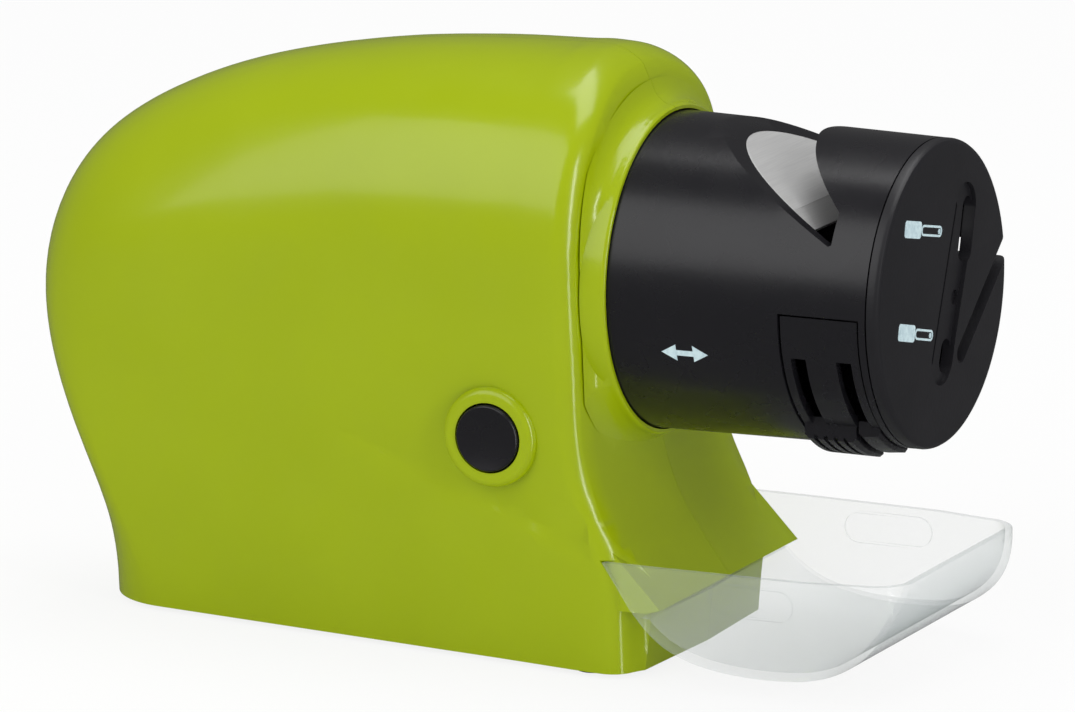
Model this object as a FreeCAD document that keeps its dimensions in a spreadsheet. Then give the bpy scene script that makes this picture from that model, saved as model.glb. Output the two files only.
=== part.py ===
import FreeCAD, Part
import math
import os
import re
import Sketcher
from FreeCAD import Vector

# Battery knife sharpener: a two-shell housing with a pull-off grinding head and a clear catch tray.
# +X runs forward along the spindle, +Z up, -Y is the push-button side. The table is at z = 0.
# Places along X are measured from the head's root plane (rootX), heights from the spindle (axisZ).

os.makedirs("parts", exist_ok=True)
doc = FreeCAD.newDocument("KnifeSharpener")
sheet = doc.addObject("Spreadsheet::Sheet", "Dims")

DIMENSIONS = [
    # whole object
    ("rootX", 35.7, "head root plane"),
    ("axisZ", 72.5, "spindle height above the table"),
    ("footProud", 1.0, "rubber feet below the base"),
    # housing
    ("crownHeight", 42.0, "crown above the spindle"),
    ("rearReach", 130.0, "rear-most point behind the root plane"),
    ("rearLean", 12.0, "how far the lower rear leans forward"),
    ("bellyDrop", 8.0, "widest rear point below the spindle"),
    ("upperHalfWidth", 35.0, "housing half width at the spindle height, front"),
    ("baseHalfWidth", 31.0, "housing half width at the base, front"),
    ("housingWall", 2.2, "shell thickness"),
    ("faceSetback", 4.0, "front face behind the root plane"),
    ("frontRound", 5.0, "rounding of the front edge"),
    ("chuteReach", 10.6, "lip of the chute ahead of the root plane"),
    ("chuteDrop", 58.2, "lip of the chute below the spindle"),
    ("baseReach", 5.8, "base front ahead of the root plane"),
    ("prowAngle", 2.5, "each half's front face sweeps back by this angle"),
    ("seamGap", 0.1, "parting line between the halves"),
    ("collarWall", 1.0, "lip of the collar round the head"),
    ("seatDepth", 14.0, "head socket depth behind the root plane"),
    ("bossRadius", 4.6, "screw boss"),
    ("screwShank", 1.3, "screw shank radius"),
    ("screwHead", 2.9, "screw head radius"),
    ("screwReach", 22.0, "screw shank length"),
    ("screwSeat", 11.0, "head seat off the mid-plane"),
    # head
    ("headRadius", 30.0, "head at its root"),
    ("headTaper", 1.0, "radius lost towards the front"),
    ("headReach", 54.8, "front face ahead of the root plane"),
    ("headWall", 2.6, "sleeve wall"),
    ("headGap", 0.3, "between sleeve and socket"),
    ("headTail", 9.0, "sleeve behind the root plane"),
    ("capThickness", 2.4, "end cap disc"),
    ("capGap", 0.3, "groove between sleeve and cap"),
    ("capSpigot", 3.4, "cap skirt inside the sleeve"),
    ("slotTop", 11.8, "knife slot's rear lip ahead of the root"),
    ("slotSlope", 0.522, "fall of the slot's rear wall per length"),
    ("slotEnd", 44.0, "knife slot's front end ahead of the root"),
    ("plateThickness", 1.2, "steel guide plate"),
    ("driverSlotWidth", 4.0, "screwdriver slots"),
    ("scissorSlotWidth", 3.8, "scissor slot"),
    ("channelWidth", 9.2, "channel round the screwdriver slots"),
    ("channelDepth", 0.9, "channel round the screwdriver slots"),
    ("latchStart", 35.0, "latch tongue ahead of the root"),
    ("latchLength", 15.4, "latch tongue along the head"),
    ("latchGap", 0.4, "round the latch tongue"),
    ("padProud", 1.9, "thumb pad above the sleeve"),
    # drive
    ("spindleRadius", 3.0, "spindle"),
    ("spindleEnd", 50.6, "spindle tip ahead of the root"),
    ("spindleTail", 27.0, "spindle behind the root plane"),
    ("runningGap", 0.05, "radial, in the bushes"),
    ("bushRadius", 5.5, "bush outside radius"),
    ("bushLength", 7.0, "each bush"),
    ("wheelRadius", 13.2, "knife wheel"),
    ("wheelStart", 39.4, "knife wheel ahead of the root"),
    ("wheelWidth", 6.0, "knife wheel"),
    ("faceWheelRadius", 13.2, "face wheel"),
    ("faceWheelWidth", 2.6, "face wheel"),
    ("spacerWidth", 1.0, "between the wheels"),
    ("collarRadius", 6.0, "spindle collar and spacer"),
    ("collarWidth", 3.4, "spindle collar behind the wheels"),
    ("studRadius", 2.0, "threaded tip"),
    ("hubRadius", 8.5, "bracket hub"),
    ("hubBore", 4.2, "hub bore between the bushes"),
    ("bracketTail", 18.0, "hub behind the root plane"),
    ("bracketNose", 6.0, "hub ahead of the root plane"),
    ("bracketDisc", 3.7, "bracket disc"),
    ("couplingGrip", 3.5, "coupling on the motor shaft"),
    ("motorStub", 4.0, "motor shaft behind the can"),
    ("canWall", 0.95, "motor can wall"),
    ("bellLength", 3.0, "motor end bell"),
    ("rotorRadius", 11.2, "armature"),
    ("nutRadius", 4.6, "nut across corners / 2"),
    ("nutWidth", 1.6, "nut"),
    ("motorRadius", 13.85, "motor can"),
    ("motorLength", 38.0, "motor can"),
    ("motorFront", 34.0, "motor front face behind the root"),
    ("motorShaft", 1.15, "motor shaft radius"),
    ("couplingRadius", 5.2, "coupling"),
    # base
    ("cellRadius", 7.2, "AA cell"),
    ("cellLength", 49.2, "AA cell body"),
    ("cellPitch", 15.4, "between the two rows"),
    ("cellCentre", 60.9, "cells below the spindle"),
    ("cellsRear", 106.0, "rear contact behind the root"),
    ("contactRoom", 3.4, "spring contact length at each end"),
    ("stopRoom", 2.0, "plain contact length at each end"),
    ("nubLength", 1.2, "cell nub"),
    ("nubRadius", 2.75, "cell nub"),
    ("trayWallBattery", 1.4, "battery tray wall"),
    ("coverLength", 108.0, "battery cover"),
    ("coverWidth", 33.0, "battery cover"),
    ("coverThickness", 2.0, "battery cover"),
    ("coverGap", 0.4, "round the battery cover"),
    ("footRadius", 4.0, "rubber foot"),
    ("rearFootRadius", 3.2, "rear rubber feet"),
    ("footDepth", 1.4, "foot set into the base"),
    # push button
    ("buttonX", 23.2, "button behind the root plane"),
    ("buttonDrop", 27.6, "button below the spindle"),
    ("buttonRadius", 6.4, "push button"),
    ("buttonGap", 0.35, "round the push button"),
    ("buttonFace", 34.5, "button face off the mid-plane"),
    ("buttonDepth", 6.0, "button length"),
    ("dishRadius", 9.6, "ring round the button"),
    ("buttonTravel", 1.8, "button travel"),
    ("switchLength", 14.0, "switch body"),
    ("switchHeight", 12.0, "switch body"),
    ("ribThickness", 2.0, "motor ribs"),
    ("switchBack", 15.0, "switch body off the mid-plane"),
    # catch tray
    ("trayRearHalf", 31.9, "tray half width over the arms"),
    ("trayFrontHalf", 29.0, "tray half width at the front"),
    ("trayReach", 58.6, "tray front ahead of the root"),
    ("trayRim", 49.7, "tray rim below the spindle"),
    ("trayCorner", 8.0, "rounding of the tray's front corners in plan"),
    ("trayWall", 1.4, "tray wall"),
    ("trayGap", 0.3, "between tray and housing"),
    ("armRear", 0.6, "arm tip behind the root plane at the rim"),
]

for row, (alias, number, meaning) in enumerate(DIMENSIONS, start=1):
    sheet.set("A%d" % row, meaning)
    sheet.set("B%d" % row, str(number))
    sheet.setAlias("B%d" % row, alias)
doc.recompute()

names = {alias for alias, number, meaning in DIMENSIONS}


def val(alias):
    return float(getattr(sheet, alias))


def bind(obj, prop, text):
    """Ties one property to a sum of sheet cells."""
    tied = re.sub(r"[A-Za-z_]\w*", lambda m: "Dims." + m.group(0) if m.group(0) in names else m.group(0), str(text))
    obj.setExpression(prop, tied)


def place(obj, x, y, z):
    bind(obj, "Placement.Base.x", x)
    bind(obj, "Placement.Base.y", y)
    bind(obj, "Placement.Base.z", z)


ALONG_X = FreeCAD.Rotation(Vector(0, 1, 0), 90)


def rod(name, radius, length, x, y="0", z="axisZ", turn=ALONG_X):
    """A round bar from its start point, along X unless told otherwise."""
    o = doc.addObject("Part::Cylinder", name)
    o.Placement = FreeCAD.Placement(Vector(), turn)
    bind(o, "Radius", radius)
    bind(o, "Height", length)
    place(o, x, y, z)
    return o


def fuse(name, *parts):
    o = doc.addObject("Part::MultiFuse", name)
    o.Shapes = list(parts)
    o.Refine = True
    return o


def cut(name, base, *tools):
    o = doc.addObject("Part::Cut", name)
    o.Base = base
    o.Tool = tools[0] if len(tools) == 1 else fuse(name + "Tools", *tools)
    return o


def made(name, shape):
    """A piece whose surface is worked out below rather than drawn."""
    o = doc.addObject("Part::Feature", name)
    o.Shape = shape
    return o


def revolved(name, start, outline):
    """A PartDesign body turned round the spindle: outline holds (distance from start, radius) sums of cells."""
    body = doc.addObject("PartDesign::Body", name)
    plane = [f for f in body.Origin.OriginFeatures if f.Role == "XZ_Plane"][0]
    sketch = body.newObject("Sketcher::SketchObject", name + "Profile")
    sketch.AttachmentSupport = [(plane, "")]
    sketch.MapMode = "FlatFace"
    total = len(outline)
    spots = []
    for i in range(total):
        spots.append(Vector(10 * math.cos(6.28 * i / total) + 11, 10 * math.sin(6.28 * i / total) + 11, 0))
    for i in range(total):
        sketch.addGeometry(Part.LineSegment(spots[i], spots[(i + 1) % total]), False)
    for i in range(total):
        sketch.addConstraint(Sketcher.Constraint("Coincident", i, 2, (i + 1) % total, 1))
    for i, (x, r) in enumerate(outline):
        for kind, text, line in (("DistanceX", x, -2), ("DistanceY", r, -1)):
            if text == "0":
                sketch.addConstraint(Sketcher.Constraint("PointOnObject", i, 1, line))
            else:
                number = sketch.addConstraint(Sketcher.Constraint(kind, -1, 1, i, 1, 1.0))
                bind(sketch, "Constraints[%d]" % number, text)
    turn = body.newObject("PartDesign::Revolution", name + "Turned")
    turn.Profile = sketch
    turn.ReferenceAxis = (sketch, ["H_Axis"])
    turn.Angle = 360
    body.Tip = turn
    place(body, start, "0", "axisZ")
    return body


root = val("rootX")
axis = val("axisZ")
wall = val("housingWall")
baseZ = val("footProud") - axis


def at(x, z, y=0.0):
    """A point given from the head root plane and the spindle."""
    return Vector(root + x, y, axis + z)


def prism(outline, near, far, lean=0.0):
    """A side-view outline pushed from y = near to y = far, leaning back as it goes."""
    corners = [at(x, z, near) for x, z in outline]
    face = Part.Face(Part.makePolygon(corners + corners[:1]))
    return face.extrude(Vector(-lean * abs(far - near), far - near, 0))


def cylinder(radius, start, length, y=0.0, z=0.0):
    """A bar along X, placed from the root plane and the spindle."""
    return Part.makeCylinder(radius, length, at(start, z, y), Vector(1, 0, 0))


def crossBar(radius, x, z, near, far):
    """A bar along Y."""
    return Part.makeCylinder(radius, far - near, at(x, z, near), Vector(0, 1, 0))


def slab(x0, x1, y0, y1, z0, z1):
    return Part.makeBox(x1 - x0, y1 - y0, z1 - z0, at(x0, z0, y0))


def smooth(t):
    t = min(max(t, 0.0), 1.0)
    return t * t * (3 - 2 * t)


# Housing skin. Seen from the side, the crown and the rear are one quarter of a squarish ellipse.
crownStart = -10.0
crownPower = 2.4
leanFrom = 10.0
leanOver = 54.0
baseTaper = 0.105
upperTaper = 0.05
fanX = -60.0
fanZ = -110.0
fanLow = 12.0
archPower = 2.15


def insideProfile(x, z, inset):
    belly = -val("bellyDrop")
    reach = val("rearReach") - inset
    if z < belly:
        back = -reach + val("rearLean") * smooth((-z - leanFrom) / leanOver)
        return x > back
    rise = val("crownHeight") - inset - belly
    if x > crownStart:
        return z < belly + rise
    run = reach + crownStart
    return ((crownStart - x) / run) ** crownPower + ((z - belly) / rise) ** crownPower < 1


def halfWidth(x, z):
    front = min(x, 3.0)
    base = val("baseHalfWidth") - baseTaper * (3.0 - front)
    upper = val("upperHalfWidth") - upperTaper * max(-val("faceSetback") - front, 0.0)
    lift = min((z - baseZ) / (val("faceSetback") + 1.5 - baseZ), 1.0)
    return base + (upper - base) * lift


# Front of the housing, seen from the side: rounded brow, upright face, slide down to the chute lip.
chuteX = val("chuteReach")
chuteZ = -val("chuteDrop")
faceX = -val("faceSetback")
lean = math.tan(math.radians(val("prowAngle")))
brow = [(faceX - 10.0, 46.0), (faceX - 5.0, 42.4), (faceX - 1.7, 36.8), (faceX - 0.3, 31.5), (faceX, 26.0)]
slide = [(faceX, -24.0), (faceX + 0.5, -31.0), (faceX + 1.8, -36.5), (faceX + 5.2, -44.8),
         (faceX + 8.8, -50.2), (chuteX - 2.6, -54.7), (chuteX - 0.1, chuteZ)]


def curveThrough(points):
    curve = Part.BSplineCurve()
    curve.interpolate(points)
    return curve


browCurve = curveThrough([Vector(x, 0, z) for x, z in brow])
slideCurve = curveThrough([Vector(x, 0, z) for x, z in slide])


def frontAt(z):
    """How far forward the front face stands at a height."""
    if z < -50.0:
        return faceX + 8.3
    if brow[-1][1] >= z >= slide[0][1]:
        return faceX
    curve = browCurve if z > 0 else slideCurve
    low, high = curve.FirstParameter, curve.LastParameter
    while high - low > 1e-6:
        middle = (low + high) / 2
        low, high = (middle, high) if curve.value(middle).z > z else (low, middle)
    return curve.value(low).x


def archWire(foot, direction, reach, depth, inset, forward=None, rounding=0.0):
    """One cross-section: straight sides, then an arch whose top touches the side profile.

    With forward given, the section follows the front face at that distance behind it."""
    side = []
    for k in range(14):
        side.append(((reach - depth) * k / 14.0, 1.0))
    for k in range(13):
        turn = math.radians(90.0 * k / 12)
        side.append((
            reach - depth + (depth - rounding) * math.sin(turn) ** (2 / archPower),
            max(math.cos(turn), 0.0) ** (2 / archPower)))
    near = []
    for along, share in side:
        x = foot[0] + direction[0] * along
        z = foot[1] + direction[1] * along
        if forward is not None:
            x = frontAt(z) - forward
        y = max(share, 0.0) * (halfWidth(x, z) - inset - rounding)
        if forward is not None:
            x -= lean * y
        near.append((x, z, y))
    near[-1] = (near[-1][0], near[-1][1], 0.0)
    points = [at(x, z, -y) for x, z, y in near]
    points += [at(x, z, y) for x, z, y in reversed(near[:-1])]
    arch = Part.BSplineCurve()
    arch.interpolate(Points=points, Parameters=[k / (len(points) - 1.0) for k in range(len(points))])
    return Part.Wire([arch.toShape(), Part.makeLine(points[-1], points[0])])


def housingSkin(inset):
    """The outside with its rounded front edge, or the cavity a wall's thickness inside it."""
    wires = []
    top = val("crownHeight") - inset
    low = fanZ + fanLow
    edge = val("frontRound")
    wires.append(archWire((30.0, low), (0.0, 1.0), top - low, 36.0 - inset, inset, None, 0.75 * edge))
    for share in (1.04, 0.97, 0.86, 0.7, 0.5, 0.25, 0.0):
        rounding = edge * (1 - math.sqrt(1 - (share / 1.08) ** 2))
        wires.append(archWire((0.0, low), (0.0, 1.0), top - low, 36.0 - inset, inset, edge * (1 - share), rounding))
    for x in (-20.0, -32.0, -46.0):
        probe = top
        while not insideProfile(x, probe, inset):
            probe -= 0.02
        wires.append(archWire((x, low), (0.0, 1.0), probe - low, 36.0 - inset, inset))
    for angle in (90, 81, 72, 64, 57, 50, 44, 38, 32, 26, 19, 12):
        ray = (-math.cos(math.radians(angle)), math.sin(math.radians(angle)))
        low, high = fanLow, 250.0
        while high - low > 0.001:
            middle = (low + high) / 2
            inside = insideProfile(fanX + ray[0] * middle, fanZ + ray[1] * middle, inset)
            low, high = (middle, high) if inside else (low, middle)
        foot = (fanX + ray[0] * fanLow, fanZ + ray[1] * fanLow)
        depth = 14.0 + 22.0 * smooth((angle - 15.0) / 62.0) - inset
        wires.append(archWire(foot, ray, low - fanLow, depth, inset))
    return Part.makeLoft(wires, True, False)


def frontProfile(shift):
    foot = [(chuteX - 3.4, chuteZ - 0.9), (val("baseReach"), baseZ), (val("baseReach"), baseZ - 30.0)]
    back = [(-170.0, baseZ - 30.0), (-170.0, 60.0), (faceX - 10.0, 60.0)]
    edges = []
    runs = (brow, slide)
    for run in runs:
        edges.append(curveThrough([at(x + shift, z) for x, z in run]).toShape())
    lines = [[brow[-1], slide[0]], [slide[-1]] + foot + back + [brow[0]]]
    for line in lines:
        for a, b in zip(line, line[1:]):
            edges.append(Part.makeLine(at(a[0] + shift, a[1]), at(b[0] + shift, b[1])))
    return Part.Face(Part.Wire(Part.__sortEdges__(edges)))


def behindFront(shift):
    face = frontProfile(shift)
    reach = 60.0
    left = face.extrude(Vector(-lean * reach, -reach, 0))
    right = face.extrude(Vector(-lean * reach, reach, 0))
    return left.fuse(right)


facetSlope = 0.97
facetTop = -46.0
facet = [(-40.0, facetTop), (chuteX - facetSlope * (facetTop - chuteZ), facetTop), (chuteX, chuteZ),
         (chuteX - 3.4, chuteZ - 0.9), (-40.0, chuteZ - 0.9)]
aboveTable = slab(-170.0, 40.0, -60.0, 60.0, baseZ, 80.0)
outer = housingSkin(0.0).common(aboveTable)
outer = outer.common(behindFront(0.0))
chuteHalf = val("trayRearHalf") - val("trayWall") - val("trayGap")
chute = prism(facet, -chuteHalf, chuteHalf).common(slab(faceX - 2.0, 40.0, -60.0, 60.0, baseZ, facetTop))
outer = outer.fuse(chute)

# Leaf-shaped hollow on each flank, under the crown's swell. Its wall leans, so the crease is soft.
leafCrease = [(-86.0, -20.5), (-74.0, -31.5), (-62.0, -38.0), (-50.0, -42.5), (-34.0, -46.6), (-3.0, -50.6)]
leafTop = -14.0
leafNear = 32.0
leafRun = 40.0
leafBack = 80.0
leafRise = 150.0


def leafHollow(side):
    share = (60.0 - leafNear) / leafRun
    first, last = leafCrease[0], leafCrease[-1]
    corners = [last, (last[0], leafTop), (first[0], leafTop), first]
    outline = [at(x + share * leafBack, z - share * leafRise, side * 60.0) for x, z in leafCrease]
    rim = [at(x + share * leafBack, z - share * leafRise, side * 60.0) for x, z in corners]
    edges = [curveThrough(outline).toShape()]
    edges += [Part.makeLine(a, b) for a, b in zip(rim, rim[1:])]
    leaf = Part.Face(Part.Wire(edges)).extrude(Vector(-leafBack, -side * leafRun, leafRise))
    floor = [at(x, z, side * (41.1 + 0.104 * x + 0.2112 * z)) for x, z in
             ((-100.0, 0.0), (10.0, 0.0), (10.0, -60.0), (-100.0, -60.0))]
    hollow = Part.Face(Part.makePolygon(floor + floor[:1])).extrude(Vector(0, side * 40.0, 0))
    return leaf.common(hollow)


outer = outer.cut(leafHollow(-1)).cut(leafHollow(1))

# Collar round the head socket
collarFoot = val("headRadius") + val("headGap") + val("collarWall")
collarFlare = [(0.0, collarFoot - 0.4), (-0.4, collarFoot - 0.1), (-1.4, collarFoot + 0.1), (-2.5, collarFoot + 0.6),
               (-3.5, collarFoot + 1.4), (-4.3, collarFoot + 2.6), (-5.0, collarFoot + 4.6)]
collarEdge = curveThrough([at(x, r) for x, r in collarFlare]).toShape()
collarBack = [collarFlare[-1], (collarFlare[-1][0], 0.0), (0.0, 0.0), collarFlare[0]]
collarLines = [Part.makeLine(at(*a), at(*b)) for a, b in zip(collarBack, collarBack[1:])]
collarFace = Part.Face(Part.Wire(Part.__sortEdges__([collarEdge] + collarLines)))
collar = collarFace.revolve(at(0, 0), Vector(1, 0, 0), 360)
outer = outer.fuse(collar.common(housingSkin(0.0).fuse(cylinder(collarFoot, -12.0, 12.0))))

# Ring round the push button, on the left flank
buttonAt = (-val("buttonX"), -val("buttonDrop"))
dish = crossBar(val("dishRadius"), buttonAt[0], buttonAt[1], -val("buttonFace") + 0.6, -24.0)
dishTop = -val("buttonFace") + 0.6
dishRim = [e for e in dish.Edges if abs(e.BoundBox.YMin - dishTop) < 1e-3 and e.BoundBox.YLength < 1e-3]
dish = dish.makeFillet(1.6, dishRim)
outer = outer.fuse(dish)

# Cavity
cavity = housingSkin(wall).common(behindFront(-wall)).common(slab(-170.0, 40.0, -60.0, 60.0, baseZ + wall, 80.0))
seatRadius = val("headRadius") + val("headGap")
seatEnd = -val("seatDepth")
land = cylinder(seatRadius + 2.2, seatEnd - 2.2, val("seatDepth") + 2.2 - 3.0).common(outer)

# Ribs that hold the motor, a shelf for the switch, and screw bosses across the parting plane
motorBack = -val("motorFront") - val("motorLength")
motorHold = cylinder(val("motorRadius") + val("runningGap"), motorBack - 20.0, val("motorLength") + 60.0)
inside = []
for x in (motorBack + 2.0, -val("motorFront") - 4.0):
    inside.append(slab(x, x + val("ribThickness"), -60.0, 60.0, -28.0, 28.0).cut(motorHold))
switchX = -val("buttonX") - val("switchLength") / 2
switchZ = -val("buttonDrop") - val("switchHeight") / 2
inside.append(slab(switchX - 2.0, switchX + val("switchLength") + 2.0, -60.0, -val("switchBack") + 8.0,
                   switchZ - 2.0, switchZ))
bosses = ((-103.0, -34.0), (-97.0, 14.0), (-25.0, 33.0), (-20.0, -45.0))
for x, z in bosses:
    inside.append(crossBar(val("bossRadius"), x, z, -60.0, 60.0))
for side in (-1, 1):
    near = min(side * (chuteHalf - 2.6), side * chuteHalf)
    inside.append(slab(-5.0, 6.0, near, near + 2.6, -60.5, -47.5))

shell = outer.cut(cavity).fuse(land)
for piece in inside:
    shell = shell.fuse(piece.common(outer))

# Head socket, with a shoulder behind the bearing bracket
shell = shell.cut(cylinder(seatRadius, seatEnd, val("seatDepth") + 5.0))
shell = shell.cut(cylinder(seatRadius - 3.3, seatEnd - 4.0, 20.0))

# Openings in the base: battery cover and feet
coverRear = -val("cellsRear") - 1.0
coverSide = val("coverWidth") / 2
coverGap = val("coverGap")
coverTop = baseZ + val("coverThickness")
floorTop = baseZ + wall
shell = shell.cut(slab(coverRear - coverGap, coverRear + val("coverLength") + coverGap,
                       -coverSide - coverGap, coverSide + coverGap, baseZ - 1.0, floorTop + 0.1))
feet = []
for x, y, radius in ((-6.0, 24.0, val("footRadius")), (-111.5, 7.5, val("rearFootRadius"))):
    for side in (-1, 1):
        foot = Part.makeCylinder(radius, val("footDepth") + val("footProud"), at(x, -axis, side * y))
        rim = [e for e in foot.Edges if e.BoundBox.ZMax < 1e-3]
        feet.append(foot.makeFillet(0.5, rim))
for foot in feet:
    shell = shell.cut(foot)

# Pockets for the tray's arms
trayRim = -val("trayRim")
armTip = -val("armRear")
armFoot = (4.9, chuteZ + 0.2)
trayGap = val("trayGap")
hullFoot = (7.4, -60.9)
shell = shell.cut(slab(6.2, 9.0, -chuteHalf - 0.5, chuteHalf + 0.5, -61.2, -59.4))
pocket = [(armTip - 2 * trayGap, trayRim + trayGap), (armFoot[0] - 2 * trayGap, armFoot[1] - trayGap),
          (hullFoot[0] - 2 * trayGap, hullFoot[1] - trayGap), (40.0, hullFoot[1] - trayGap),
          (40.0, trayRim + trayGap)]
for side in (-1, 1):
    shell = shell.cut(prism(pocket, side * chuteHalf, side * 60.0))

halfSeam = val("seamGap") / 2
left = shell.common(slab(-170.0, 60.0, -60.0, -halfSeam, baseZ - 2.0, 80.0))
right = shell.common(slab(-170.0, 60.0, halfSeam, 60.0, baseZ - 2.0, 80.0))
left = left.cut(crossBar(val("buttonRadius") + val("buttonGap"), buttonAt[0], buttonAt[1], -60.0, -26.0))
pilotEnd = val("screwSeat") - val("screwReach")
screws = []
for x, z in bosses:
    left = left.cut(crossBar(val("screwShank") + 0.05, x, z, pilotEnd - 0.5, 0.0))
    right = right.cut(crossBar(val("screwShank") + 0.3, x, z, -1.0, 60.0))
    right = right.cut(crossBar(val("screwHead") + 0.3, x, z, val("screwSeat"), 60.0))
    head = crossBar(val("screwHead"), x, z, val("screwSeat"), val("screwSeat") + 2.2)
    shank = crossBar(val("screwShank"), x, z, pilotEnd, val("screwSeat"))
    crossOne = slab(x - 1.6, x + 1.6, val("screwSeat") + 1.0, val("screwSeat") + 4.0, z - 0.35, z + 0.35)
    crossTwo = slab(x - 0.35, x + 0.35, val("screwSeat") + 1.0, val("screwSeat") + 4.0, z - 1.6, z + 1.6)
    screws.append(head.fuse(shank).cut(crossOne).cut(crossTwo))
made("left_housing", left)
made("right_housing", right)
made("housing_screws", Part.makeCompound(screws))
made("base_feet", Part.makeCompound(feet))

# Battery tray on the floor's edge, four cells in two rows, contacts at both ends
cellZ = -val("cellCentre")
cellsRear = -val("cellsRear")
nub = val("nubLength")
bay = 2 * (val("cellLength") + nub) + val("contactRoom") + val("stopRoom")
bayWall = val("trayWallBattery")
bayHalf = val("cellPitch") / 2 + val("cellRadius") + 0.3
bayTop = cellZ + val("cellRadius") + 0.3
bayRim = coverTop + 0.2
batteryTray = slab(cellsRear - bayWall, cellsRear + bay + bayWall, -bayHalf - bayWall, bayHalf + bayWall,
                   bayRim, bayTop + bayWall)
batteryTray = batteryTray.fuse(slab(cellsRear + 8.0, cellsRear + bay + bayWall, -bayHalf - bayWall - 1.0,
                                    bayHalf + bayWall + 1.0, floorTop, floorTop + 1.2))
batteryTray = batteryTray.cut(slab(cellsRear, cellsRear + bay, -bayHalf, bayHalf, baseZ, bayTop))
spine = prism([(cellsRear, bayTop), (cellsRear + bay, bayTop), (cellsRear + bay, cellZ + 4.0),
               (cellsRear, cellZ + 4.0)], -0.3, 0.3)
made("battery_tray", batteryTray.fuse(spine))

cells = []
contacts = []
plate = 0.5
for side in (-1, 1):
    y = side * val("cellPitch") / 2
    springAt = cellsRear if side < 0 else cellsRear + bay - val("contactRoom")
    stopAt = cellsRear + bay - val("stopRoom") if side < 0 else cellsRear
    firstCell = cellsRear + val("contactRoom") if side < 0 else cellsRear + val("stopRoom") + nub
    for k in range(2):
        start = firstCell + k * (val("cellLength") + nub)
        nubAt = start + val("cellLength") if side < 0 else start - nub
        cells.append(cylinder(val("cellRadius"), start, val("cellLength"), y, cellZ).fuse(
            cylinder(val("nubRadius"), nubAt, nub, y, cellZ)))
    coil = cylinder(3.6, springAt, val("contactRoom"), y, cellZ)
    contacts.append(coil.cut(cylinder(2.9, springAt, val("contactRoom"), y, cellZ)))
    contacts.append(cylinder(3.2, stopAt, val("stopRoom"), y, cellZ))
made("batteries", Part.makeCompound(cells))
made("battery_contacts", Part.makeCompound(contacts))

cover = slab(coverRear, coverRear + val("coverLength"), -coverSide, coverSide, baseZ, coverTop)
for k in range(4):
    cover = cover.cut(slab(coverRear + 6.0 + 3.0 * k, coverRear + 7.4 + 3.0 * k, -9.0, 9.0, baseZ - 1.0, baseZ + 0.8))
made("battery_cover", cover)

# Grinding head: sleeve open on top for the knife, with a window for the latch tongue
headR = val("headRadius")
headTip = val("headReach")
capStart = headTip - val("capThickness")
sleeveEnd = capStart - val("capGap")
sleeveIn = headR - val("headWall")
sleeveBack = -val("headTail")


def skinRadius(x):
    return headR - val("headTaper") * max(x, 0.0) / headTip


def turned(outline):
    """A ring about the spindle from its (x, r) outline."""
    corners = [at(x, r) for x, r in outline]
    return Part.Face(Part.makePolygon(corners + corners[:1])).revolve(at(0, 0), Vector(1, 0, 0), 360)


def wedge(line, depth, cover=0.0):
    """A strip under a sloped line, measured square to it."""
    (x0, z0), (x1, z1) = line
    run = math.hypot(x1 - x0, z1 - z0)
    nx, nz = (z1 - z0) / run, (x0 - x1) / run
    return [(x0 + nx * cover, z0 + nz * cover), (x1 + nx * cover, z1 + nz * cover),
            (x1 + nx * depth, z1 + nz * depth), (x0 + nx * depth, z0 + nz * depth)]


slope = val("slotSlope")
slotRise = headR - 0.1 + slope * val("slotTop") - 0.2


def rampAt(x):
    return slotRise - slope * x


slotOutline = [(val("slotTop") - 4.0, rampAt(val("slotTop") - 4.0)), (val("slotEnd") - 0.6, rampAt(val("slotEnd") - 0.6)),
               (val("slotEnd"), 13.5), (val("slotEnd"), 18.9), (32.4, 28.6), (29.6, 30.2), (29.0, 40.0),
               (val("slotTop") - 4.0, 40.0)]
slot = prism(slotOutline, -40.0, 40.0)
sleeve = turned([(sleeveBack, sleeveIn), (sleeveBack, headR - 0.5), (sleeveBack + 0.5, headR), (0.0, headR),
                 (sleeveEnd, skinRadius(sleeveEnd)), (sleeveEnd, sleeveIn)])
rampEnd = 34.0
ramp = ((val("slotTop") - 4.0, rampAt(val("slotTop") - 4.0)), (rampEnd, rampAt(rampEnd)))
plateT = val("plateThickness")
bed = prism(wedge(ramp, 3.0, plateT), -40.0, 40.0).common(
    cylinder(sleeveIn + 0.4, sleeveBack, sleeveEnd - sleeveBack))
sleeve = sleeve.fuse(bed).cut(slot)
windowX = val("latchStart") - val("latchGap")
windowLength = val("latchLength") + 2 * val("latchGap")
window = slab(windowX, windowX + windowLength, -31.5, -5.0, -31.5, 0.5)
sleeve = sleeve.cut(window)

plateTail = (38.3, 14.9)
steel = prism(wedge(ramp, plateT), -40.0, 40.0).fuse(
    prism(wedge(((rampEnd - 0.3, rampAt(rampEnd - 0.3)), plateTail), 0.9), -40.0, 40.0))
steel = steel.common(cylinder(sleeveIn - 0.1, 0.0, 45.0))
made("knife_guide_plate", steel)

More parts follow.
